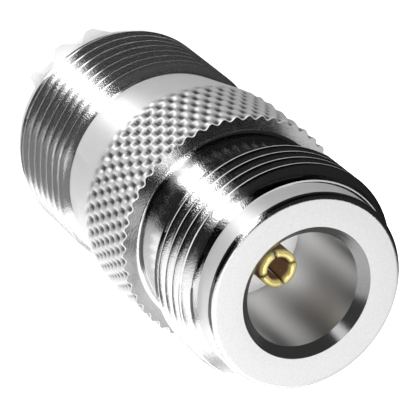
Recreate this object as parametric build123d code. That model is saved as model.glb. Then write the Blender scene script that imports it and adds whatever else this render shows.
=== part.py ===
from build123d import *
import os
from math import cos, radians, sin, tan

os.makedirs("parts", exist_ok=True)

# Lengths are in mm. Levels are measured up from the tips of the rim teeth, along the axis Z.
# The small end is at the top, the large end at the foot.

# Outside of the shell, from the rim up
rim_tooth_height = 1.4
rim_band_length = 0.6
rim_outer_r = 7.4
thread_major_r = 7.9375
large_thread_length = 8.3
cone_length = 4.7
cone_foot_r = 7.3
cone_top_r = 8.2
band_length = 0.41
neck_r = 7.0
neck_cove = 0.35
neck_length = 3.15
small_thread_length = 5.75
ring_length = 2.0
edge_round = 0.4

# Knurled collar: diamonds between two crossing sets of helical grooves
knurl_starts = 54
knurl_rows = 7
knurl_half_pitch = 0.87
knurl_tip_r = 8.4
knurl_depth = 0.3
knurl_phase = 1.63

# Rim teeth: the group repeats round the rim, each tooth with its angle and foot width
rim_groups = 3
rim_teeth = ((-124.2, 2.3), (-104.0, 2.3), (-82.5, 1.1))
tooth_flank_angle = 32.0
tooth_tip_least = 0.55
tooth_corner_r = 0.16

# Inside of the shell
small_bore_r = 4.06
small_mouth_chamfer = 0.64
small_cavity_depth = 9.1
large_bore_r = 6.2
large_bore_depth = 14.5

# Insulators
small_flange_thickness = 2.0
large_nose_r = 5.1
large_nose_recess = 1.6
large_flange_thickness = 4.0
insulator_play = 0.03
nose_chamfer = 0.3

# Ring that holds both insulators in the shell
ring_thickness = 1.5
ring_play = 0.02
ring_chamfer = 0.2

# Centre contact of the small end: a slotted socket with a spigot behind it
small_contact_r = 1.35
small_contact_setback = 4.0
small_socket_r = 0.84
small_socket_depth = 6.0
small_mouth_bevel = 0.12
small_slot_width = 0.22
small_slot_length = 4.4
small_slot_angle = 61.0
spigot_r = 0.8
spigot_length = 1.2
spigot_end_room = 0.1

# Centre contact of the large end: a slotted socket with a seating flange
large_contact_r = 2.8
large_contact_recess = 0.9
large_socket_r = 2.0
large_socket_depth = 9.4
large_mouth_bevel = 0.35
large_slot_width = 0.5
large_slot_length = 7.0
large_slot_angle = 45.0
contact_flange_r = 3.6
contact_flange_thickness = 1.0
contact_play = 0.02
contact_tip_bevel = 0.14
spring_room = 0.22
spring_room_depth = 6.4
drill_point_angle = 15.0

# How far a cutter runs past the faces that it opens
overrun = 1.0

# Levels that follow from the lengths above
rim_level = rim_tooth_height + rim_band_length
cone_foot = rim_level + large_thread_length
cone_top = cone_foot + cone_length
knurl_foot = cone_top + band_length
knurl_top = knurl_foot + knurl_rows * knurl_half_pitch
small_thread_foot = knurl_top + neck_length
small_thread_top = small_thread_foot + small_thread_length
face_level = small_thread_top + ring_length
knurl_root_r = knurl_tip_r - knurl_depth
cavity_floor = face_level - small_cavity_depth
small_tip_level = face_level - small_contact_setback
parting_level = large_bore_depth - small_flange_thickness
large_flange_foot = parting_level - large_flange_thickness
contact_shoulder = parting_level - contact_flange_thickness


def turned(*profile):
    """Solid of revolution about Z from (radius, height) corners."""
    outline = Polyline(*profile, close=True)
    return revolve(Plane.XZ * make_face(outline), Axis.Z)


def eased(radius, level, in_r, in_z):
    """Corner at (radius, level) taken off in two flats that follow a quarter circle."""
    share = 1 - cos(radians(45))
    return (radius + in_r, level), (radius + share * in_r, level + share * in_z), (radius, level + in_z)


def collar_drum():
    """Knurled drum: four sloping facets to each diamond, half diamonds at both ends."""
    half_angle = radians(180 / knurl_starts)
    phase = radians(knurl_phase)

    def corner(row, half_turn, radius):
        angle = phase + half_turn * half_angle
        return Vector(radius * cos(angle), radius * sin(angle), knurl_top - row * knurl_half_pitch)

    faces = []
    top_edge = []
    foot_edge = []
    for row in range(knurl_rows + 1):
        peak_r = knurl_tip_r if row < knurl_rows else knurl_root_r
        for start in range(knurl_starts):
            place = 2 * start + row % 2
            left = corner(row, place, knurl_root_r)
            right = corner(row, place + 2, knurl_root_r)
            peak = corner(row, place + 1, peak_r)
            if row > 0:
                above = corner(row - 1, place + 1, knurl_root_r)
                faces.append(Face(Wire.make_polygon([right, above, peak])))
                faces.append(Face(Wire.make_polygon([above, left, peak])))
            if row < knurl_rows:
                below = corner(row + 1, place + 1, knurl_root_r)
                faces.append(Face(Wire.make_polygon([left, below, peak])))
                faces.append(Face(Wire.make_polygon([below, right, peak])))
            if row == 0:
                top_edge += [left, peak]
            if row == knurl_rows:
                foot_edge += [left, peak]
    faces.append(Face(Wire.make_polygon(top_edge)))
    faces.append(Face(Wire.make_polygon(foot_edge)))
    return Solid(Shell(faces))


def rim_gaps():
    """Cutter for the spaces between the rim teeth."""
    outside = rim_outer_r + overrun
    inside = large_bore_r - overrun
    gaps = turned(
        (inside, -overrun),
        (outside, -overrun),
        (outside, rim_tooth_height),
        (inside, rim_tooth_height),
    )
    for group in range(rim_groups):
        for angle, foot_width in rim_teeth:
            turn = angle + group * 360 / rim_groups
            gaps -= Rot(0, 0, turn) * tooth(foot_width)
    return gaps


def tooth(foot_width):
    """One tooth on the +X side, narrowing from its foot down to a rounded tip."""
    foot = foot_width / 2
    tip = max(foot - rim_tooth_height * tan(radians(tooth_flank_angle)), tooth_tip_least / 2)
    outline = Polyline((-foot, rim_tooth_height), (-tip, 0), (tip, 0), (foot, rim_tooth_height), close=True)
    flanks = make_face(outline)
    flanks = fillet(flanks.vertices().group_by(Axis.Y)[0], tooth_corner_r)
    start = large_bore_r - 2 * overrun
    length = rim_outer_r + 2 * overrun - start
    return Plane.YZ * Pos(0, 0, start) * extrude(flanks, length)


def make_body():
    """Turned shell with the knurl, both thread lands at their full diameter, and the rim teeth."""
    rim_step = thread_major_r - rim_outer_r
    cone_step = thread_major_r - cone_foot_r
    neck_step = thread_major_r - neck_r
    lower = turned(
        (0, 0),
        (rim_outer_r, 0),
        (rim_outer_r, rim_level),
        (thread_major_r, rim_level + rim_step),
        (thread_major_r, cone_foot - cone_step),
        (cone_foot_r, cone_foot),
        (cone_top_r, cone_top),
        (cone_top_r, knurl_foot),
        (0, knurl_foot),
    )
    upper = turned(
        (0, knurl_top),
        *eased(neck_r, knurl_top, neck_cove, neck_cove),
        (neck_r, small_thread_foot),
        (thread_major_r, small_thread_foot + neck_step / 2),
        (thread_major_r, small_thread_top - neck_step),
        (neck_r, small_thread_top),
        *reversed(eased(neck_r, face_level, -edge_round, -edge_round)),
        (0, face_level),
    )
    bore = turned(
        (0, -overrun),
        (large_bore_r, -overrun),
        (large_bore_r, large_bore_depth),
        (small_bore_r, large_bore_depth),
        (small_bore_r, face_level - small_mouth_chamfer),
        (small_bore_r + small_mouth_chamfer + overrun, face_level + overrun),
        (0, face_level + overrun),
    )
    return lower + collar_drum() + upper - bore - rim_gaps()


def make_small_insulator():
    """Flanged bead that fills the small bore behind the contact's spring part."""
    hole = small_contact_r + contact_play
    flange = large_bore_r - insulator_play
    nose = small_bore_r - insulator_play
    return turned(
        (hole, parting_level),
        (flange, parting_level),
        (flange, large_bore_depth),
        (nose, large_bore_depth),
        (nose, cavity_floor),
        (hole, cavity_floor),
    )


def make_large_insulator():
    """Flanged sleeve round the large contact, with room at its mouth for the springs to open."""
    hole = large_contact_r + contact_play
    mouth = large_contact_r + spring_room
    seat = contact_flange_r + contact_play
    flange = large_bore_r - insulator_play
    return turned(
        (mouth, large_nose_recess),
        (large_nose_r - nose_chamfer, large_nose_recess),
        (large_nose_r, large_nose_recess + nose_chamfer),
        (large_nose_r, large_flange_foot),
        (flange, large_flange_foot),
        (flange, parting_level),
        (seat, parting_level),
        (seat, contact_shoulder),
        (hole, contact_shoulder),
        (hole, large_nose_recess + spring_room_depth),
        (mouth, large_nose_recess + spring_room_depth),
    )


def make_retaining_ring():
    """Chamfered ring pressed in against the large insulator's flange."""
    inner = large_nose_r + ring_play
    outer = large_bore_r - ring_play
    foot = large_flange_foot - ring_thickness
    return turned(
        (inner + ring_chamfer, foot),
        (outer - ring_chamfer, foot),
        (outer, foot + ring_chamfer),
        (outer, large_flange_foot),
        (inner, large_flange_foot),
        (inner, foot + ring_chamfer),
    )


def crossed_slots(width, length, contact_r, angle):
    """Two saw cuts right across a contact and square to each other, centred on the origin."""
    blade = Box(2 * (contact_r + overrun), width, length)
    return Rot(0, 0, angle) * blade + Rot(0, 0, angle + 90) * blade


def make_small_contact():
    """Small socket: four spring fingers, drilled bore and a spigot at the foot."""
    floor = small_tip_level - small_socket_depth
    pin = turned(
        (0, parting_level - spigot_length),
        (spigot_r, parting_level - spigot_length),
        (spigot_r, parting_level),
        (small_contact_r, parting_level),
        (small_contact_r, small_tip_level - contact_tip_bevel),
        (small_contact_r - contact_tip_bevel, small_tip_level),
        (small_socket_r + small_mouth_bevel, small_tip_level),
        (small_socket_r, small_tip_level - small_mouth_bevel),
        (small_socket_r, floor),
        (0, floor - small_socket_r * tan(radians(drill_point_angle))),
    )
    slots = crossed_slots(small_slot_width, 2 * small_slot_length, small_contact_r, small_slot_angle)
    return pin - Pos(0, 0, small_tip_level) * slots


def make_large_contact():
    """Large socket: four spring fingers, a seating flange and the hole for the spigot."""
    tip = large_contact_recess
    floor = tip + large_socket_depth
    hole = spigot_r + contact_play
    hole_floor = parting_level - spigot_length - spigot_end_room
    socket = turned(
        (large_socket_r + large_mouth_bevel, tip),
        (large_contact_r - contact_tip_bevel, tip),
        (large_contact_r, tip + contact_tip_bevel),
        (large_contact_r, contact_shoulder),
        (contact_flange_r, contact_shoulder),
        (contact_flange_r, parting_level),
        (hole, parting_level),
        (hole, hole_floor),
        (0, hole_floor),
        (0, floor + large_socket_r * tan(radians(drill_point_angle))),
        (large_socket_r, floor),
        (large_socket_r, tip + large_mouth_bevel),
    )
    slots = crossed_slots(large_slot_width, 2 * large_slot_length, large_contact_r, large_slot_angle)
    return socket - Pos(0, 0, tip) * slots


nodes = {
    "body": make_body(),
    "small_insulator": make_small_insulator(),
    "large_insulator": make_large_insulator(),
    "small_contact": make_small_contact(),
    "large_contact": make_large_contact(),
    "retaining_ring": make_retaining_ring(),
}
for name, solid in nodes.items():
    export_step(solid, f"parts/{name}.step")
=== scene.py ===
from math import radians, tan

import bmesh
import bpy
import numpy as np
from mathutils import Matrix, Vector


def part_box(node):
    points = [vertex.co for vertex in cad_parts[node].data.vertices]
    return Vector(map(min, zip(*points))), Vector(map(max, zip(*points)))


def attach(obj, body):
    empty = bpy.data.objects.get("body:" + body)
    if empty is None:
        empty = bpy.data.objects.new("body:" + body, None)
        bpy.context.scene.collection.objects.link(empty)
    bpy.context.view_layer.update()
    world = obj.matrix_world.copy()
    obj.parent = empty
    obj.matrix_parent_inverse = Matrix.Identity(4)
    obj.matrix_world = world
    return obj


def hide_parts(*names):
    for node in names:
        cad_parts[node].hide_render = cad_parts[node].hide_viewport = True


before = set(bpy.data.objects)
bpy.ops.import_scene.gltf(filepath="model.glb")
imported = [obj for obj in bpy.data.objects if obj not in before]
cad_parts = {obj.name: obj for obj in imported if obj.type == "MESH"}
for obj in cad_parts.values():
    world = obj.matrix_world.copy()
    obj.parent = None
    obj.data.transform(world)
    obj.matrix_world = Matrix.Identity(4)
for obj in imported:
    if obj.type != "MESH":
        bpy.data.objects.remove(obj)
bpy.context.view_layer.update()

# Shell. One piece turned from a brass bar and plated with nickel: bright in the threads and the neck,
# satin on the front ring, the knurl, the cone and the rim. Its screw threads are cut, its knurl is
# rolled, and the spaces between the rim teeth are milled.
mm = 0.001
face_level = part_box("body")[1][2]
neck_r = 7.0 * mm
neck_cove = 0.35 * mm
edge_round = 0.4 * mm
cone_foot = 10.3 * mm
cone_foot_r = 7.3 * mm
large_bore_r = 6.2 * mm
large_bore_depth = 14.5 * mm
small_bore_r = 4.06 * mm
small_mouth_chamfer = 0.64 * mm
knurl_starts = 54
knurl_phase = radians(1.63)
columns_per_start = 8
columns = columns_per_start * knurl_starts
turn = np.linspace(knurl_phase, knurl_phase + 2 * np.pi, columns + 1)


def rows_of(radius, height):
    """Grid points at (radius cos turn, radius sin turn, height), one row per height, one column per turn."""
    radius, height, angle = np.broadcast_arrays(radius, height, turn)
    return np.stack([radius * np.cos(angle), radius * np.sin(angle), height], axis=-1)


def turned_rows(corners):
    """Plain turned stretch: a row through each (radius, height) corner."""
    corner = np.array(corners)
    return rows_of(corner[:, :1], corner[:, 1:])


# How each stretch is finished, from bright to satin, and how much painted shade darkens its plating.
bright = 0.0
satin = 1.0
unshaded = 0.0
ring_finish = 0.8
knurl_finish = 0.8
large_bore_finish = 0.7
mouth_finish = 0.08
# Painted shade on the mouth chamfer of the small bore, where it stands in for a dark reflection.
mouth_painted_shade = 0.7
# Painted shade on the top face and the front ring, which holds them down against the strong light from
# above.
face_painted_shade = 0.17
# Painted shade on the collar's flat shoulder, where it stands in for a dark reflection.
collar_painted_shade = 0.35
# Painted shade on the rim teeth, which makes them grey.
rim_painted_shade = 0.25

# Both coupling threads.
thread_major_r = 7.9375 * mm
thread_pitch = 25.4 / 24 * mm
thread_depth = 0.65 * mm
thread_half_angle = radians(30)
crest_flat = 0.09 * mm
crest_break = 0.04 * mm
root_fillet = 0.05 * mm
small_thread_foot = 24.65 * mm
small_thread_top = 30.4 * mm
small_crest = 27.30 * mm + thread_pitch / 4
small_crest_finish = 0.8
large_crest = 6.35 * mm + thread_pitch / 4
large_crest_finish = 0.2
large_flank_finish = 0.05


def thread_rows(foot, foot_r, top, top_r, crest, crest_finish, flank_finish):
    """Screw thread with rows along the helix: height = crest + pitch * (turn / full turn + count) + place
    in the groove, held between foot and top. The radius is the crest radius less the drop of the
    60-degree form at that place, or the turned blank's radius where that is less. Returns the rows, and
    the finish between them: the flat crests are what is left of the blank, and the flanks are cut."""
    flank = (thread_depth - crest_break / 2 - root_fillet) * tan(thread_half_angle)
    to_break = crest_flat / 2 + crest_break
    to_root = to_break + flank + root_fillet
    side = np.array([
        (crest_flat / 2, 0),
        (to_break, crest_break / 2),
        (to_break + flank / 2, (thread_depth + crest_break / 2 - root_fillet) / 2),
        (to_break + flank, thread_depth - root_fillet),
        (to_root, thread_depth),
    ])
    place = np.concatenate([side[:, 0], thread_pitch - side[::-1, 0]])
    drop = np.concatenate([side[:, 1], side[::-1, 1]])
    first = int(np.floor((foot - crest) / thread_pitch)) - 1
    last = int(np.ceil((top - crest) / thread_pitch)) + 1
    count = np.arange(first, last + 1)
    helix = crest + thread_pitch * count[:, None]
    along = (helix + place).ravel()[:, None] + thread_pitch * turn / (2 * np.pi)
    form = np.tile(thread_major_r - drop, len(count))[:, None]
    height = np.clip(along, foot, top)
    blank = np.interp(
        height,
        (foot, foot + thread_major_r - foot_r, top - thread_major_r + top_r, top),
        (foot_r, thread_major_r, thread_major_r, top_r),
    )
    radius = np.where((along <= foot) | (along >= top), blank, np.minimum(form, blank))
    crest_row = np.arange(len(along) - 1) % len(place) == len(place) - 1
    used = np.flatnonzero((along > foot).any(axis=1) & (along < top).any(axis=1))
    low, high = used[0] - 1, used[-1] + 1
    finish = np.where(crest_row, crest_finish, flank_finish)[low:high]
    return rows_of(radius[low:high + 1], height[low:high + 1])[::-1], finish[::-1]


# Knurl of the collar.
knurl_foot = 15.0 * mm
knurl_foot_r = 8.2 * mm
knurl_top = 21.5 * mm
knurl_tip_r = 8.39 * mm
knurl_depth = 0.3 * mm
knurl_pitch = 1.74 * mm
knurl_rows_per_pitch = 10
knurl_first_pit = 21.32 * mm
knurl_edge = 0.07 * mm
knurl_fade = 0.75 * mm
# Painted shade on the knurl: a little over the lands, and near black in the pits, where shade falls.
land_painted_shade = 0.14
pit_painted_shade = 0.9
pit_shade_gain = 2.5
pit_shade_power = 1.6
pit_shade_start = 0.7


def knurl_rows():
    """Diamond knurl: radius = crown less depth times pit, where pit = (1 + cos(starts * turn) * cos(full
    circle * height / pitch)) / 2 is 1 in the middle of a pit and 0 on a peak. Pits, crown and painted shade
    come up smoothly over knurl_fade above the cone. Returns the rows and the painted shade of each point,
    which darkens the pits where shade falls: that of the lands, and on to that of the pits as gain * pit to
    the power - start goes from 0 to 1."""
    pits_down = np.arange(knurl_first_pit, knurl_foot, -knurl_pitch / knurl_rows_per_pitch)
    height = np.concatenate([[knurl_top - knurl_edge], pits_down, [knurl_foot]])[:, None]
    swell = np.cos(knurl_starts * (turn - knurl_phase))
    wave = np.cos(2 * np.pi * (height - knurl_first_pit) / knurl_pitch)
    pit = (1 + swell * wave) / 2
    rise = np.clip((height - knurl_foot) / knurl_fade, 0, 1)
    rise = rise * rise * (3 - 2 * rise)
    crown = knurl_foot_r + (knurl_tip_r - knurl_foot_r) * rise
    deep = np.clip(pit_shade_gain * pit ** pit_shade_power - pit_shade_start, 0, 1)
    painted_shade = rise * (land_painted_shade + (pit_painted_shade - land_painted_shade) * deep)
    return rows_of(crown - knurl_depth * rise * pit, height), painted_shade


# Castellated rim of the large end.
rim_outer_r = 7.4 * mm
rim_level = 2.0 * mm
rim_tooth_height = 1.4 * mm
tooth_groups = 3
tooth_angles = (-124.2, -104.0, -82.5)
tooth_foot_widths = (2.3 * mm, 2.3 * mm, 1.1 * mm)
tooth_flank = radians(32)
tooth_tip_least = 0.55 * mm
tooth_edge = 0.06 * mm
tooth_wall_rows = 4


def rim_edge():
    """Height of the rim's lower edge round the turn: nothing at a tooth's tip, then up a straight flank to
    the floor of the space, height = (arc from the tooth's middle - half its tip) / tan(flank)."""
    edge = np.full(columns + 1, rim_tooth_height)
    for group in range(tooth_groups):
        for angle, foot_width in zip(tooth_angles, tooth_foot_widths):
            middle = radians(angle + 360 / tooth_groups * group)
            arc = rim_outer_r * np.abs(np.angle(np.exp(1j * (turn - middle))))
            tip = max(foot_width / 2 - rim_tooth_height * tan(tooth_flank), tooth_tip_least / 2)
            flank = (foot_width / 2 - tip) / rim_tooth_height
            edge = np.minimum(edge, np.clip((arc - tip) / flank, 0, rim_tooth_height))
    return edge


# Wall of the small bore.
bore_finish = 0.6
bore_dark_from = 24.0 * mm
# Painted shade on the wall of the small bore, darker towards the mouth, with painted reflection streaks
# round it.
bore_deep_shade = 0.24
bore_mouth_shade = 0.66
streak_count = 8
streak_turn = radians(49)
painted_streak_amount = 0.2
drift_count = 5
drift_painted_shade = 0.05


def bore_rows():
    """Turned wall of the small bore and the painted shade of each point: that of its height, which grows
    from bore_dark_from up to the mouth, less the streak amount * cos(streaks * (turn - that of the first)),
    which leaves a painted light streak, a painted reflection, where the cosine is 1, plus the drift amount *
    sin(drifts * turn)."""
    height = np.array([[large_bore_depth], [bore_dark_from], [face_level - small_mouth_chamfer]])
    along = np.array([[bore_deep_shade], [bore_deep_shade], [bore_mouth_shade]])
    streaks = painted_streak_amount * np.cos(streak_count * (turn - streak_turn))
    drift = drift_painted_shade * np.sin(drift_count * turn)
    return rows_of(small_bore_r, height), np.clip(along - streaks + drift, 0, 1)


def rounded(radius, level, in_r, in_z, steps=6):
    """Quarter round between (radius + in_r, level) and (radius, level + in_z): both run as 1 - sin and
    1 - cos of an angle from nothing to a right angle."""
    angle = np.linspace(0, np.pi / 2, steps)
    return np.stack([radius + in_r * (1 - np.sin(angle)), level + in_z * (1 - np.cos(angle))], axis=-1)


def shell_bands():
    """The closed outline of the shell from the mouth of the small bore over the outside and up the inside
    again, in bands of rows, each with its finish and its painted shade."""
    mouth_r = small_bore_r + small_mouth_chamfer
    mouth_foot = face_level - small_mouth_chamfer
    ring_top = face_level - edge_round
    cove_r = neck_r + neck_cove
    step = np.array([[0], [1]])

    # The top face and the front ring carry painted shade.
    yield turned_rows([(mouth_r, face_level), (neck_r - edge_round, face_level)]), satin, face_painted_shade
    yield turned_rows(rounded(neck_r, face_level, -edge_round, -edge_round)), bright, unshaded
    yield turned_rows([(neck_r, ring_top), (neck_r, small_thread_top)]), ring_finish, face_painted_shade
    thread, finish = thread_rows(
        small_thread_foot, neck_r, small_thread_top, neck_r, small_crest, small_crest_finish, bright)
    yield thread, finish, unshaded
    yield turned_rows([(neck_r, small_thread_foot), (neck_r, knurl_top + neck_cove)]), bright, unshaded
    yield turned_rows(rounded(neck_r, knurl_top, neck_cove, neck_cove)[::-1]), bright, unshaded

    collar, knurl_shade = knurl_rows()
    collar_r = np.hypot(collar[0, :, 0], collar[0, :, 1])
    shoulder = np.stack([np.full(columns + 1, cove_r), collar_r - knurl_edge])
    # The collar's shoulder carries painted shade.
    yield rows_of(shoulder, knurl_top), bright, collar_painted_shade
    yield rows_of(collar_r - knurl_edge * (1 - step), knurl_top - knurl_edge * step), knurl_finish, unshaded
    yield collar, knurl_finish, knurl_shade
    yield turned_rows([(knurl_foot_r, knurl_foot), (cone_foot_r, cone_foot)]), satin, unshaded
    thread, finish = thread_rows(
        rim_level, rim_outer_r, cone_foot, cone_foot_r, large_crest, large_crest_finish, large_flank_finish)
    yield thread, finish, unshaded

    edge = rim_edge()
    wall = np.linspace(0, 1, tooth_wall_rows)[:, None]
    tooth_wall = rim_level + wall * (edge + tooth_edge - rim_level)
    # The rim teeth carry painted shade.
    yield rows_of(rim_outer_r, tooth_wall), satin, rim_painted_shade
    yield rows_of(rim_outer_r - tooth_edge * step, edge + tooth_edge * (1 - step)), satin, rim_painted_shade
    tooth_ends = np.array([[rim_outer_r - tooth_edge], [large_bore_r + tooth_edge]])
    yield rows_of(tooth_ends, edge), satin, rim_painted_shade
    yield rows_of(large_bore_r + tooth_edge * (1 - step), edge + tooth_edge * step), satin, rim_painted_shade
    yield rows_of(large_bore_r, tooth_wall[::-1]), satin, rim_painted_shade

    large_bore = [(large_bore_r, rim_level), (large_bore_r, large_bore_depth)]
    bore_step = [(large_bore_r, large_bore_depth), (small_bore_r, large_bore_depth)]
    bore, bore_shade = bore_rows()
    yield turned_rows(large_bore), large_bore_finish, unshaded
    yield turned_rows(bore_step), large_bore_finish, unshaded
    yield bore, bore_finish, bore_shade
    # The mouth chamfer carries painted shade.
    yield turned_rows([(small_bore_r, mouth_foot), (mouth_r, face_level)]), mouth_finish, mouth_painted_shade


def grid_faces(rows, first):
    """Four-cornered faces between neighbouring rows and columns of a grid whose points start at first."""
    corner = first + np.arange(rows * (columns + 1)).reshape(rows, columns + 1)
    around = (corner[:-1, :-1], corner[1:, :-1], corner[1:, 1:], corner[:-1, 1:])
    return np.stack(around, axis=-1).reshape(-1, 4)


shell_weld = 0.001 * mm
crisp_from = radians(40)


def joined(mesh, reach):
    """Points within reach of each other become one, faces left without area go, and edges sharper than
    crisp_from stay crisp while the rest is shaded round."""
    work = bmesh.new()
    work.from_mesh(mesh)
    bmesh.ops.remove_doubles(work, verts=work.verts, dist=reach)
    bmesh.ops.dissolve_degenerate(work, edges=work.edges, dist=reach)
    work.to_mesh(mesh)
    work.free()
    mesh.shade_smooth()
    mesh.set_sharp_from_angle(angle=crisp_from)


def shown(name, mesh):
    """Object at the origin for a mesh, a lamp or a camera."""
    piece = bpy.data.objects.new(name, mesh)
    bpy.context.collection.objects.link(piece)
    return piece


def make_shell():
    """All bands as one closed skin, with the finish kept on its faces and the painted shade on their
    corners.
    """
    points, faces, finishes, painted_shades = [], [], [], []
    count = 0
    for rows, finish, painted_shade in shell_bands():
        faces.append(grid_faces(len(rows), count))
        points.append(rows.reshape(-1, 3))
        painted_shades.append(np.broadcast_to(painted_shade, rows.shape[:2]).ravel())
        finishes.append(np.repeat(np.broadcast_to(finish, len(rows) - 1), columns))
        count += len(points[-1])
    corners = np.concatenate(faces)
    mesh = bpy.data.meshes.new("shell")
    mesh.from_pydata(np.concatenate(points), [], corners)
    finish_kept = mesh.attributes.new("satin", "FLOAT", "FACE")
    finish_kept.data.foreach_set("value", np.concatenate(finishes))
    shade_kept = mesh.attributes.new("dark", "FLOAT", "CORNER")
    shade_kept.data.foreach_set("value", np.concatenate(painted_shades)[corners.ravel()])
    joined(mesh, shell_weld)
    return shown("shell", mesh)


def new_material(name):
    """Material shaded by nodes, with its node tree and its Principled shader."""
    material = bpy.data.materials.new(name)
    material.use_nodes = True
    tree = material.node_tree
    return material, tree, tree.nodes["Principled BSDF"]


def math_node(tree, operation, *values):
    """Maths node fed by sockets or plain numbers; returns its result socket."""
    node = tree.nodes.new("ShaderNodeMath")
    node.operation = operation
    for place, value in enumerate(values):
        if isinstance(value, (int, float)):
            node.inputs[place].default_value = value
        else:
            tree.links.new(value, node.inputs[place])
    return node.outputs[0]


def mixed(tree, share, first, second):
    """Colour on the way from first, a colour or a socket, to the colour second; returns its socket."""
    node = tree.nodes.new("ShaderNodeMix")
    node.data_type = "RGBA"
    tree.links.new(share, node.inputs["Factor"])
    if isinstance(first, tuple):
        node.inputs["A"].default_value = first
    else:
        tree.links.new(first, node.inputs["A"])
    node.inputs["B"].default_value = second
    return node.outputs["Result"]


def bumped(tree, height, strength, distance):
    """Normal of the surface with a height worked into it; returns its socket."""
    node = tree.nodes.new("ShaderNodeBump")
    node.inputs["Strength"].default_value = strength
    node.inputs["Distance"].default_value = distance
    tree.links.new(height, node.inputs["Height"])
    return node.outputs["Normal"]


def object_place(tree):
    """Where a point lies on the object: the place itself, then its x, y and z."""
    place = tree.nodes.new("ShaderNodeTexCoord").outputs["Object"]
    split = tree.nodes.new("ShaderNodeSeparateXYZ")
    tree.links.new(place, split.inputs[0])
    return place, *split.outputs


def off_axis(tree, x, y):
    """Distance from the axis: the root of x squared plus y squared."""
    squares = math_node(tree, "ADD", math_node(tree, "MULTIPLY", x, x), math_node(tree, "MULTIPLY", y, y))
    return math_node(tree, "SQRT", squares)


def noise(group, place, scale, detail):
    """Noise texture read at a place; returns its value socket."""
    node = group.nodes.new("ShaderNodeTexNoise")
    node.inputs["Scale"].default_value = scale
    node.inputs["Detail"].default_value = detail
    group.links.new(place, node.inputs["Vector"])
    return node.outputs["Fac"]


def make_tool_marks():
    """Lathe marks: noise stretched into rings, read at (scale * distance from the axis, ring_wander * turn,
    scale * height), beside an even grain and the distance from the axis."""
    ring_wander = 1.5
    grain_scale = 11000.0
    group = bpy.data.node_groups.new("tool marks", "ShaderNodeTree")
    group.interface.new_socket("Scale", in_out="INPUT", socket_type="NodeSocketFloat")
    for label in ("Rings", "Grain", "Radius"):
        group.interface.new_socket(label, in_out="OUTPUT", socket_type="NodeSocketFloat")
    entry = group.nodes.new("NodeGroupInput")
    leave = group.nodes.new("NodeGroupOutput")
    place, x, y, z = object_place(group)
    radius = off_axis(group, x, y)
    ring = group.nodes.new("ShaderNodeCombineXYZ")
    along_ring = (
        math_node(group, "MULTIPLY", radius, entry.outputs["Scale"]),
        math_node(group, "MULTIPLY", math_node(group, "ARCTAN2", y, x), ring_wander),
        math_node(group, "MULTIPLY", z, entry.outputs["Scale"]),
    )
    for value, socket in zip(along_ring, ring.inputs):
        group.links.new(value, socket)
    group.links.new(noise(group, ring.outputs[0], 1.0, 3.0), leave.inputs["Rings"])
    group.links.new(noise(group, place, grain_scale, 2.0), leave.inputs["Grain"])
    group.links.new(radius, leave.inputs["Radius"])
    return group


tool_marks = make_tool_marks()


def placed_marks(tree, scale):
    """The tool marks placed in a material at their own scale; returns their outputs."""
    node = tree.nodes.new("ShaderNodeGroup")
    node.node_tree = tool_marks
    node.inputs["Scale"].default_value = scale
    return node.outputs


def attribute(tree, name):
    """Number kept on the mesh; returns its socket."""
    node = tree.nodes.new("ShaderNodeAttribute")
    node.attribute_name = name
    return node.outputs["Fac"]


nickel_dull = (0.70, 0.70, 0.70, 1)
nickel_clear = (0.94, 0.94, 0.94, 1)
painted_shade_tone = (0.02, 0.02, 0.02, 1)
nickel_mark_scale = 14000.0
nickel_bump = 0.009 * mm
outside_r = 6.3 * mm


def make_nickel():
    """Nickel plate. The finish takes it from mirror to fine-turned: roughness = 0.1 + 0.36 * finish + 0.12 *
    (grain - a half), and metallic = 1 - half of the smaller of twice the finish and 1. Its height is the
    lathe's rings where it is satin or inside the bores, and grain outside, less of it where it is satin."""
    material, tree, plate = new_material("nickel plate")
    link = tree.links.new
    finish = attribute(tree, "satin")
    marks = placed_marks(tree, nickel_mark_scale)
    grain = math_node(tree, "SUBTRACT", marks["Grain"], 0.5)
    rough = math_node(tree, "MULTIPLY_ADD", finish, 0.36, 0.1)
    link(math_node(tree, "MULTIPLY_ADD", grain, 0.12, rough), plate.inputs["Roughness"])
    matt = math_node(tree, "MINIMUM", math_node(tree, "MULTIPLY", finish, 2.0), 1.0)
    link(math_node(tree, "MULTIPLY_ADD", matt, -0.5, 1.0), plate.inputs["Metallic"])
    tone = mixed(tree, marks["Grain"], nickel_dull, nickel_clear)
    # Painted shade: the mesh's dark share takes the plate's colour toward near black.
    link(mixed(tree, attribute(tree, "dark"), tone, painted_shade_tone), plate.inputs["Base Color"])
    outside = math_node(tree, "GREATER_THAN", marks["Radius"], outside_r)
    inside = math_node(tree, "MULTIPLY_ADD", outside, -1.0, 1.0)
    coarse = math_node(tree, "MULTIPLY", outside, math_node(tree, "MULTIPLY_ADD", matt, -0.6, 1.0))
    height = math_node(tree, "MULTIPLY", coarse, marks["Grain"])
    ringed = math_node(tree, "MAXIMUM", finish, inside)
    height = math_node(tree, "MULTIPLY_ADD", ringed, marks["Rings"], height)
    link(bumped(tree, height, 1.0, nickel_bump), plate.inputs["Normal"])
    return material


shell = make_shell()
shell.data.materials.append(make_nickel())
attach(shell, "root")
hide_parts("body")


# Insulators. A flanged bead behind the small contact and a flanged sleeve round the large one, both
# turned from white PTFE, matt, and held against the step in the shell.
solid_weld = 0.0005 * mm
ptfe_grey = (0.93, 0.93, 0.92, 1)
ptfe_white = (0.98, 0.98, 0.97, 1)
ptfe_mark_scale = 9000.0
ptfe_bump = 0.008 * mm


def fair_copy(node, name, material):
    """Copy of a CAD solid with its loose triangles joined, its round faces shaded smooth and its material
    on it, which takes the solid's place."""
    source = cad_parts[node]
    mesh = source.data.copy()
    mesh.name = name
    mesh.transform(source.matrix_world)
    joined(mesh, solid_weld)
    mesh.materials.clear()
    mesh.materials.append(material)
    piece = shown(name, mesh)
    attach(piece, "root")
    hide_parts(node)


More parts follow.
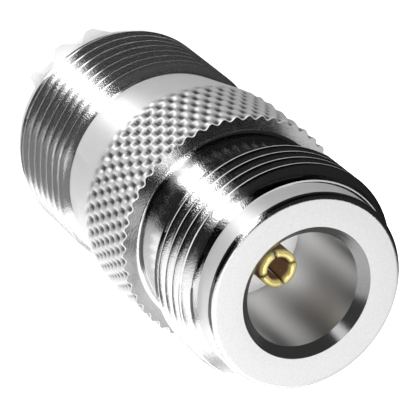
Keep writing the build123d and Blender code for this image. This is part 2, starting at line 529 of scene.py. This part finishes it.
def make_ptfe():
    """Machined PTFE: cloudy white, with faint lathe rings in its bump and roughness = 0.4 + 0.2 * grain."""
    material, tree, plastic = new_material("white ptfe")
    marks = placed_marks(tree, ptfe_mark_scale)
    tree.links.new(mixed(tree, marks["Grain"], ptfe_grey, ptfe_white), plastic.inputs["Base Color"])
    tree.links.new(math_node(tree, "MULTIPLY_ADD", marks["Grain"], 0.2, 0.4), plastic.inputs["Roughness"])
    tree.links.new(bumped(tree, marks["Rings"], 0.3, ptfe_bump), plastic.inputs["Normal"])
    return material


ptfe = make_ptfe()
fair_copy("small_insulator", "small_bead", ptfe)
fair_copy("large_insulator", "large_sleeve", ptfe)


# Centre contacts. Two sockets turned from spring brass, sawn into four fingers and plated with gold;
# the small one is pressed into the flange of the large one.
gold_tone = (1.0, 0.86, 0.35, 1)
behind_tip_brown = (0.25, 0.14, 0.08, 1)
gold_metallic = 0.6
gold_mark_scale = 12000.0
gold_bump = 0.006 * mm
tip_fade = 0.35 * mm
fade_patchy = 0.6


def make_gold(name, tip, inward):
    """Gold plate: gold at the tip, darkening to brown behind it: share of brown = inward * (tip - height) /
    fade - patchy * (1 - grain), held between nothing and one. Its roughness is 0.17 + 0.15 * grain."""
    material, tree, plate = new_material(name)
    link = tree.links.new
    plate.inputs["Metallic"].default_value = gold_metallic
    marks = placed_marks(tree, gold_mark_scale)
    height = object_place(tree)[3]
    depth = math_node(tree, "MULTIPLY_ADD", height, -inward / tip_fade, inward * tip / tip_fade)
    patches = math_node(tree, "MULTIPLY_ADD", marks["Grain"], fade_patchy, -fade_patchy)
    browned = math_node(tree, "MAXIMUM", math_node(tree, "ADD", depth, patches), 0.0)
    browned = math_node(tree, "MINIMUM", browned, 1.0)
    link(mixed(tree, browned, gold_tone, behind_tip_brown), plate.inputs["Base Color"])
    link(math_node(tree, "MULTIPLY_ADD", marks["Grain"], 0.15, 0.17), plate.inputs["Roughness"])
    link(bumped(tree, marks["Rings"], 0.3, gold_bump), plate.inputs["Normal"])
    return material


small_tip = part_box("small_contact")[1][2]
large_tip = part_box("large_contact")[0][2]
small_gold = make_gold("small_socket gold", small_tip, 1)
large_gold = make_gold("large_socket gold", large_tip, -1)
fair_copy("small_contact", "small_socket", small_gold)
fair_copy("large_contact", "large_socket", large_gold)


# Retaining ring. A chamfered brass ring, nickel plated and satin, pressed into the large bore against
# the sleeve's flange.
ring_tone = (0.72, 0.72, 0.71, 1)
ring_mark_scale = 12000.0
ring_bump = 0.006 * mm


def make_ring_nickel():
    """Satin nickel, with the lathe's rings in its bump and roughness = 0.3 + 0.2 * grain."""
    material, tree, plate = new_material("satin nickel")
    plate.inputs["Metallic"].default_value = 1.0
    plate.inputs["Base Color"].default_value = ring_tone
    marks = placed_marks(tree, ring_mark_scale)
    tree.links.new(math_node(tree, "MULTIPLY_ADD", marks["Grain"], 0.2, 0.3), plate.inputs["Roughness"])
    tree.links.new(bumped(tree, marks["Rings"], 0.4, ring_bump), plate.inputs["Normal"])
    return material


fair_copy("retaining_ring", "pressed_ring", make_ring_nickel())


# Floor. A plain white sheet that the adapter stands on. It keeps the shadow, and its own paint takes it
# to white for the camera and in reflections.
floor_reach = 1.5
floor_tone = (0.9, 0.9, 0.9, 1)
floor_glow = 0.6


def seen_directly(tree):
    """1 where the camera, a reflection or a view through something meets the surface, 0 for its light."""
    path = tree.nodes.new("ShaderNodeLightPath").outputs
    seen = math_node(tree, "MAXIMUM", path["Is Camera Ray"], path["Is Glossy Ray"])
    return math_node(tree, "MAXIMUM", seen, path["Is Transmission Ray"])


def make_floor_paint():
    """White paint that gives off part of its white where it is seen directly. It is clear from below."""
    material, tree, paint = new_material("floor paint")
    paint.inputs["Base Color"].default_value = floor_tone
    paint.inputs["Roughness"].default_value = 0.9
    paint.inputs["Emission Color"].default_value = (1, 1, 1, 1)
    glow = math_node(tree, "MULTIPLY", seen_directly(tree), floor_glow)
    tree.links.new(glow, paint.inputs["Emission Strength"])
    below = tree.nodes.new("ShaderNodeNewGeometry").outputs["Backfacing"]
    tree.links.new(math_node(tree, "MULTIPLY_ADD", below, -1.0, 1.0), paint.inputs["Alpha"])
    return material


floor_mesh = bpy.data.meshes.new("floor")
floor_corners = [(-floor_reach, -floor_reach, 0), (floor_reach, -floor_reach, 0),
                 (floor_reach, floor_reach, 0), (-floor_reach, floor_reach, 0)]
floor_mesh.from_pydata(floor_corners, [], [(0, 1, 2, 3)])
floor_mesh.materials.append(make_floor_paint())
shown("floor", floor_mesh)


# Light tent. A white tent with black flags and one bright strip stands round the adapter, and only its
# polished surfaces see it. It gives bright metal its dark bands and its one hard streak.
tent_r = 0.35
tent_low = 0.05 * mm
tent_gap = 8.6 * mm
dome_rows = 24
tent_weld = 0.01 * mm
strip_level = 3.0
belt_tone = 0.05
belt_foot = 0.01
belt_level = 0.2
belt_least = 0.1
belt_tilt = (-0.2, -0.75)
near_floor = 15 * mm
far_floor = 21 * mm
near_share = 0.6
# Each row: bearing from the camera's side in degrees, the tent's brightness there, and how much of the
# dark belt stands there.
tent_tones = (
    (-180, 0.9, 1),
    (-164, 0.9, 1),
    (-154, 0.02, 1),
    (-25, 0.02, 1),
    (-19, strip_level, 0.35),
    (-5, strip_level, 0.35),
    (1, 0.02, 1),
    (44, 0.02, 1),
    (54, 1.05, 1),
    (90, 1.4, 1),
    (150, 1.4, 1),
    (170, 0.9, 1),
    (180, 0.9, 1),
)


def make_tent():
    """Flat ring on the floor, then a dome: radius cos and height sin of the elevation, closed at the top."""
    rise = np.linspace(0, np.pi / 2, dome_rows)
    radius = np.concatenate([[tent_gap], tent_r * np.cos(rise)])
    height = np.concatenate([[tent_low], tent_low + tent_r * np.sin(rise)])
    rows = rows_of(radius[:, None], height[:, None])
    mesh = bpy.data.meshes.new("light_tent")
    mesh.from_pydata(rows.reshape(-1, 3), [], grid_faces(len(rows), 0))
    joined(mesh, tent_weld)
    return mesh


def tent_bearing(tree, x, y):
    """Bearing from the camera's side, arctan2 of x over minus y. Close to the adapter it is taken times
    near_share where it is above nothing, which widens the flag there."""
    bearing = math_node(tree, "ARCTAN2", x, math_node(tree, "MULTIPLY", y, -1.0))
    share = tree.nodes.new("ShaderNodeMapRange")
    share.inputs["From Min"].default_value = near_floor
    share.inputs["From Max"].default_value = far_floor
    share.inputs["To Min"].default_value = near_share
    tree.links.new(off_axis(tree, x, y), share.inputs["Value"])
    narrowed = math_node(tree, "MULTIPLY", bearing, share.outputs["Result"])
    return math_node(tree, "MINIMUM", bearing, narrowed)


def tent_belt(tree, x, y, z):
    """1 in the dark belt round the foot of the dome, from belt_foot radii up to belt_level radii plus tilt
    times x and y, and nowhere lower than belt_least radii; 0 on the floor and above the belt."""
    above_floor = math_node(tree, "GREATER_THAN", z, belt_foot * tent_r)
    edge = math_node(tree, "MULTIPLY_ADD", x, belt_tilt[0], belt_level * tent_r)
    edge = math_node(tree, "MULTIPLY_ADD", y, belt_tilt[1], edge)
    edge = math_node(tree, "MAXIMUM", edge, belt_least * tent_r)
    return math_node(tree, "MULTIPLY", above_floor, math_node(tree, "LESS_THAN", z, edge))


def make_tent_cloth():
    """Cloth lit from behind: its brightness is a ramp over the bearing, whose alpha says how much of the
    dark belt stands there."""
    material = bpy.data.materials.new("tent cloth")
    material.use_nodes = True
    tree = material.node_tree
    tree.nodes.clear()
    x, y, z = object_place(tree)[1:]
    ramp = tree.nodes.new("ShaderNodeValToRGB")
    way_round = math_node(tree, "MULTIPLY_ADD", tent_bearing(tree, x, y), 1 / (2 * np.pi), 0.5)
    tree.links.new(way_round, ramp.inputs["Fac"])
    stops = ramp.color_ramp.elements
    while len(stops) < len(tent_tones):
        stops.new(1.0)
    for stop, (degree, tone, belt_share) in zip(stops, tent_tones):
        stop.position = degree / 360 + 0.5
        stop.color = (tone / strip_level, tone / strip_level, tone / strip_level, belt_share)
    belt = math_node(tree, "MULTIPLY", tent_belt(tree, x, y, z), ramp.outputs["Alpha"])
    clear = math_node(tree, "MULTIPLY_ADD", belt, -1.0, 1.0)
    strength = math_node(tree, "MULTIPLY_ADD", clear, strip_level - belt_tone, belt_tone)
    cloth = tree.nodes.new("ShaderNodeEmission")
    tree.links.new(strength, cloth.inputs["Strength"])
    tree.links.new(ramp.outputs["Color"], cloth.inputs["Color"])
    leave = tree.nodes.new("ShaderNodeOutputMaterial")
    tree.links.new(cloth.outputs["Emission"], leave.inputs["Surface"])
    return material


def stage_reflection(name, mesh, material):
    """Stage piece that shows in polished surfaces and nowhere else."""
    mesh.materials.append(material)
    piece = shown(name, mesh)
    piece.visible_camera = False
    piece.visible_diffuse = False
    piece.visible_shadow = False
    piece.visible_transmission = False
    piece.visible_volume_scatter = False


stage_reflection("light_tent", make_tent(), make_tent_cloth())


# Black card. It stands on the floor close to the adapter, at its left as the camera sees it, and puts
# the soft dark lines into the large thread, the knurl and the neck on that side.
card_r = 32 * mm
card_height = 40 * mm
card_lift = 0.1 * mm
card_from = radians(46)
card_to = radians(84)
card_columns = 25
card_tone = (0.16, 0.16, 0.16, 1)


def make_card():
    """Upright sheet bent round the adapter: points at (radius sin turn, - radius cos turn), at its foot and
    a card's height above it."""
    card_turn = np.linspace(card_from, card_to, card_columns)
    level = np.full(card_columns, card_lift)
    foot = np.stack([card_r * np.sin(card_turn), -card_r * np.cos(card_turn), level], axis=-1)
    first = np.arange(card_columns - 1)
    around = (first, first + 1, first + 1 + card_columns, first + card_columns)
    mesh = bpy.data.meshes.new("black_card")
    mesh.from_pydata(np.concatenate([foot, foot + (0, 0, card_height)]), [], np.stack(around, axis=-1))
    return mesh


card_paint, card_tree, card_shader = new_material("black card paint")
card_shader.inputs["Base Color"].default_value = card_tone
card_shader.inputs["Roughness"].default_value = 1.0
stage_reflection("black_card", make_card(), card_paint)


# Light. An even sky, white for the camera and in reflections and dimmer as a light, and three large soft
# disc lamps: one nearly straight above, which reaches into the bore, one at each side.
sky_light = 0.34
lamp_width = 0.3
lamps = (
    ("soft lamp", 2.1, (0.02, -0.08, 0.46)),
    ("side lamp", 1.2, (0.36, -0.12, 0.14)),
    ("far lamp", 0.5, (-0.36, -0.12, 0.14)),
)

world = bpy.data.worlds.new("even sky")
world.use_nodes = True
sky = world.node_tree.nodes["Background"]
sky.inputs["Color"].default_value = (1, 1, 1, 1)
sky_seen = seen_directly(world.node_tree)
sky_level = math_node(world.node_tree, "MULTIPLY_ADD", sky_seen, 1 - sky_light, sky_light)
world.node_tree.links.new(sky_level, sky.inputs["Strength"])
bpy.context.scene.world = world

for name, power, place in lamps:
    lamp = bpy.data.lights.new(name, "AREA")
    lamp.shape = "DISK"
    lamp.size = lamp_width
    lamp.energy = power
    holder = shown(name, lamp)
    holder.location = place
    holder.rotation_euler = (-Vector(place)).to_track_quat("-Z", "Y").to_euler()
    holder.visible_glossy = False


# Camera. A long lens looks down on the standing adapter from 55 degrees above the floor, turned on its
# own axis so that the small end points down to the right.
camera_place = Vector((0, -126.52, 198.89)) * mm
camera_aim = Vector((0, 0, 17.45)) * mm
camera_roll = radians(130.73)
camera_data = bpy.data.cameras.new("camera")
camera_data.sensor_width = 36.0
camera_data.lens = 276.9
camera_data.clip_start = 0.01
camera = shown("camera", camera_data)
aimed = (camera_aim - camera_place).to_track_quat("-Z", "Y").to_matrix().to_4x4()
camera.matrix_world = Matrix.Translation(camera_place) @ aimed @ Matrix.Rotation(camera_roll, 4, "Z")
bpy.context.scene.camera = camera
bpy.context.scene.view_settings.view_transform = "Standard"
